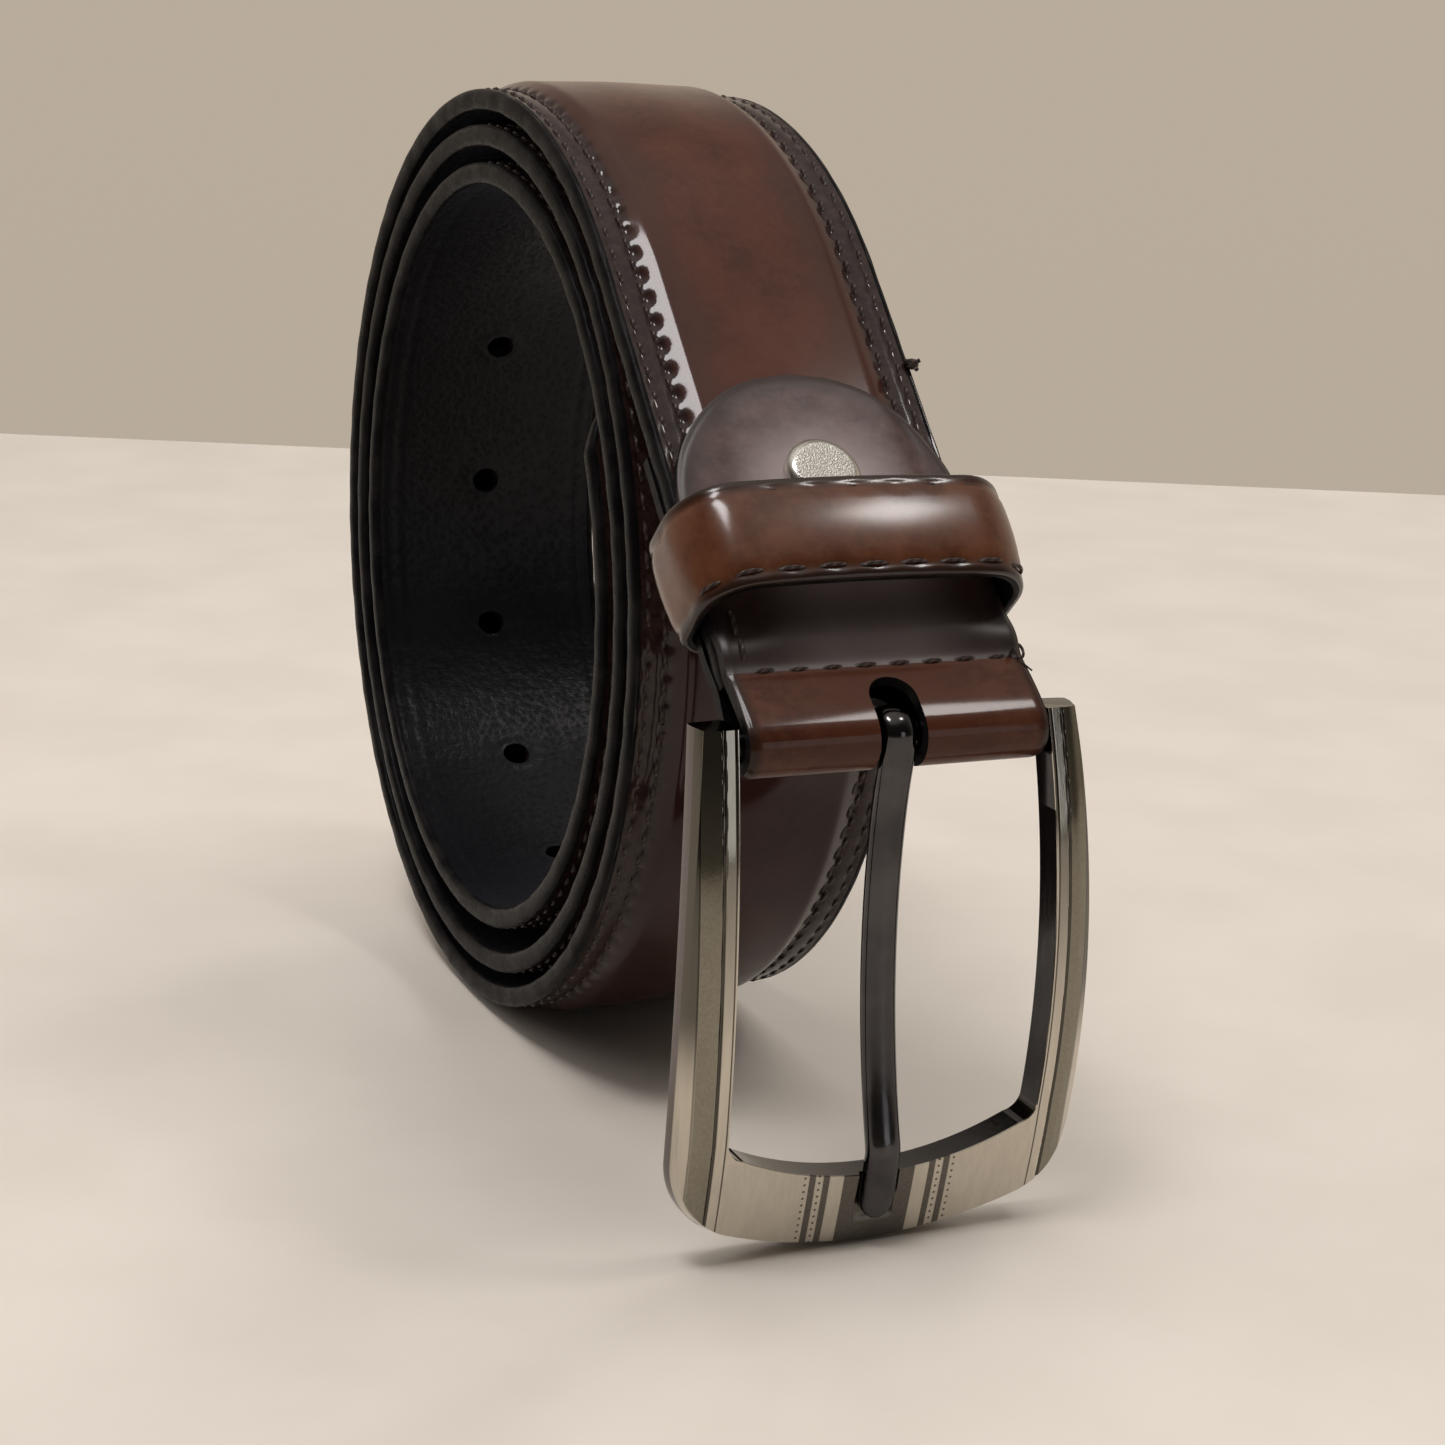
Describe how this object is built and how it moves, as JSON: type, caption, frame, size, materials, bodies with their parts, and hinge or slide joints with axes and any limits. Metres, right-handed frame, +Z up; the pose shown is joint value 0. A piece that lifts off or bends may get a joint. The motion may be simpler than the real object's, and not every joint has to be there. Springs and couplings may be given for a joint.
{
  "type": "leather belt",
  "caption": "Rolled dress belt: padded leather strap with stitched edges, sliding keeper, riveted chape, and a bowed metal frame buckle with a hinged prong.",
  "frame": {"origin": "on the floor under the coil, in the middle of the strap's width", "axes": "+X across the strap, +Y from the buckle towards the coil, +Z up"},
  "size_m": [0.0496, 0.1547, 0.123],
  "materials": {
    "face_leather": "glazed brown, darker towards the edges",
    "keeper_leather": "glazed brown",
    "chape_leather": "satin dark brown",
    "lining_leather": "pebbled black, soft sheen",
    "core_board": "bonded leather board",
    "padding": "felt",
    "thread": "waxed dark brown thread",
    "rivet_metal": "satin nickel",
    "buckle_metal": "gunmetal, polished and brushed bands",
    "prong_metal": "polished black nickel"
  },
  "bodies": {
    "strap": {"strap_face": "face_leather", "strap_padding": "padding", "strap_core": "core_board", "strap_lining": "lining_leather", "stitch_left_outer": "thread", "stitch_left_inner": "thread", "stitch_right_inner": "thread", "stitch_right_outer": "thread", "chape": "chape_leather", "chape_stitch": "thread", "rivet_head": "rivet_metal", "rivet_back": "rivet_metal"},
    "keeper": {"keeper_face": "keeper_leather", "keeper_lining": "lining_leather", "keeper_stitch_upper": "thread", "keeper_stitch_lower": "thread", "keeper_staple": "rivet_metal"},
    "buckle": {"buckle_frame": "buckle_metal", "buckle_bar": "buckle_metal"},
    "prong": {"prong": "prong_metal"}
  },
  "joints": [
    {"name": "keeper_slide", "type": "slide", "parent": "strap", "child": "keeper", "axis": [0, 0.6997, 0.7145], "range_m": [-0.008, 0.013]},
    {"name": "buckle_hinge", "type": "hinge", "parent": "strap", "child": "buckle", "pos_m": [0, -0.08863, 0.05806], "axis": [-1, 0, 0], "range_deg": [-40, 60]},
    {"name": "prong_hinge", "type": "hinge", "parent": "buckle", "child": "prong", "pos_m": [0, -0.08863, 0.05806], "axis": [-1, 0, 0], "range_deg": [0, 90]}
  ]
}
